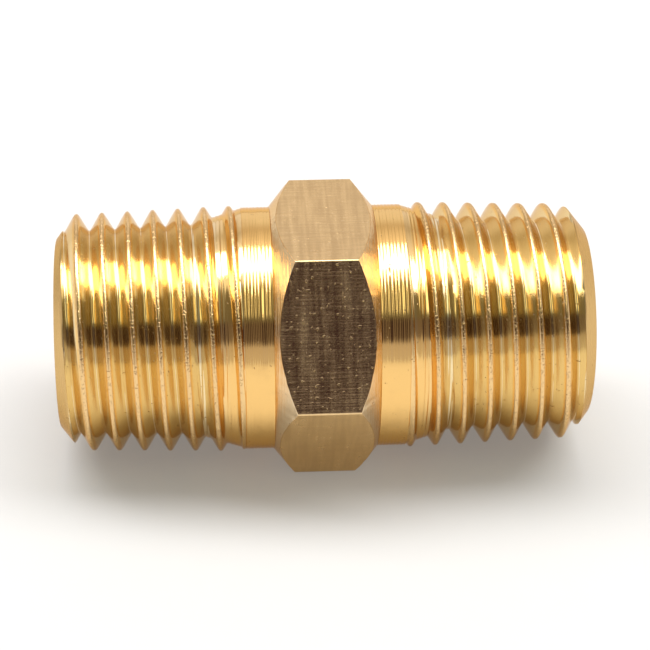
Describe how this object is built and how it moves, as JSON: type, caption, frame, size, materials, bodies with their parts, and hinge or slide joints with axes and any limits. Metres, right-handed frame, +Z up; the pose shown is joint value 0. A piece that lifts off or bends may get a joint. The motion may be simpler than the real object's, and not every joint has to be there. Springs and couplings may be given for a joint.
{
  "type": "hex nipple",
  "caption": "Brass pipe nipple with a male taper thread at each end, a hexagon for the wrench between them and a straight through bore.",
  "frame": {"origin": "middle of the bore, halfway between the two end faces", "axes": "+X along the bore from the left end to the right end; +Z up, square to the flat that faces up; the nipple lies on the flat that faces down"},
  "size_m": [0.0294, 0.0166, 0.0142],
  "materials": {
    "hex_brass": "drawn bar with a fine lengthwise grain and small scratches, cones turned bright",
    "thread_brass": "bright turned, with fine tool lines round the necks and along the thread"
  },
  "bodies": {
    "root": {"hex_section": "hex_brass", "left_threaded_end": "thread_brass", "right_threaded_end": "thread_brass"}
  },
  "joints": []
}
